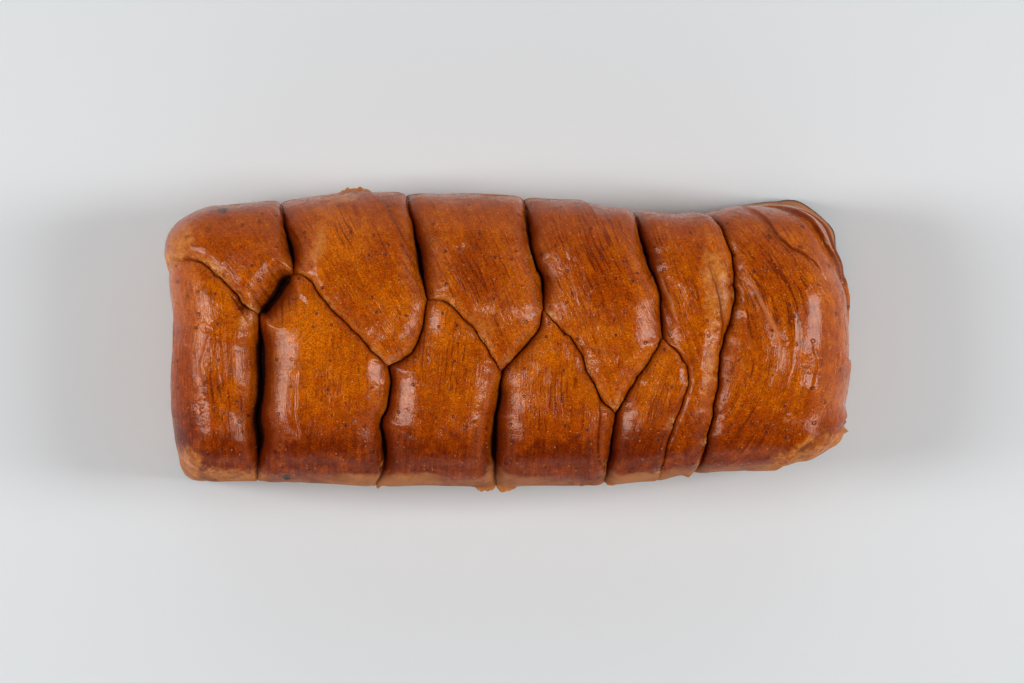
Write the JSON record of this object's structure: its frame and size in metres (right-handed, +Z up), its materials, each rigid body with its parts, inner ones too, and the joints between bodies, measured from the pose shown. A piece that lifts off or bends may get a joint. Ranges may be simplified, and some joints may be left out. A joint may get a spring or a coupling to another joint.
{
  "type": "brioche loaf",
  "caption": "Braided brioche loaf baked in a tin: glossy browned top of puffed strand crossings with dark seams between them, steep sides and a flat base.",
  "frame": {"origin": "middle of the loaf's outline seen from above, on its flat base", "axes": "+X along the loaf, towards the end with the one large strand crossing; +Y across it, towards the side whose strand crossings end in tips at the middle; +Z up"},
  "size_m": [0.2798, 0.1202, 0.0859],
  "materials": {
    "crust": "egg-washed crust, baked dark brown on top, duller and paler on the sides"
  },
  "bodies": {
    "root": {"brioche": "crust"}
  },
  "joints": []
}
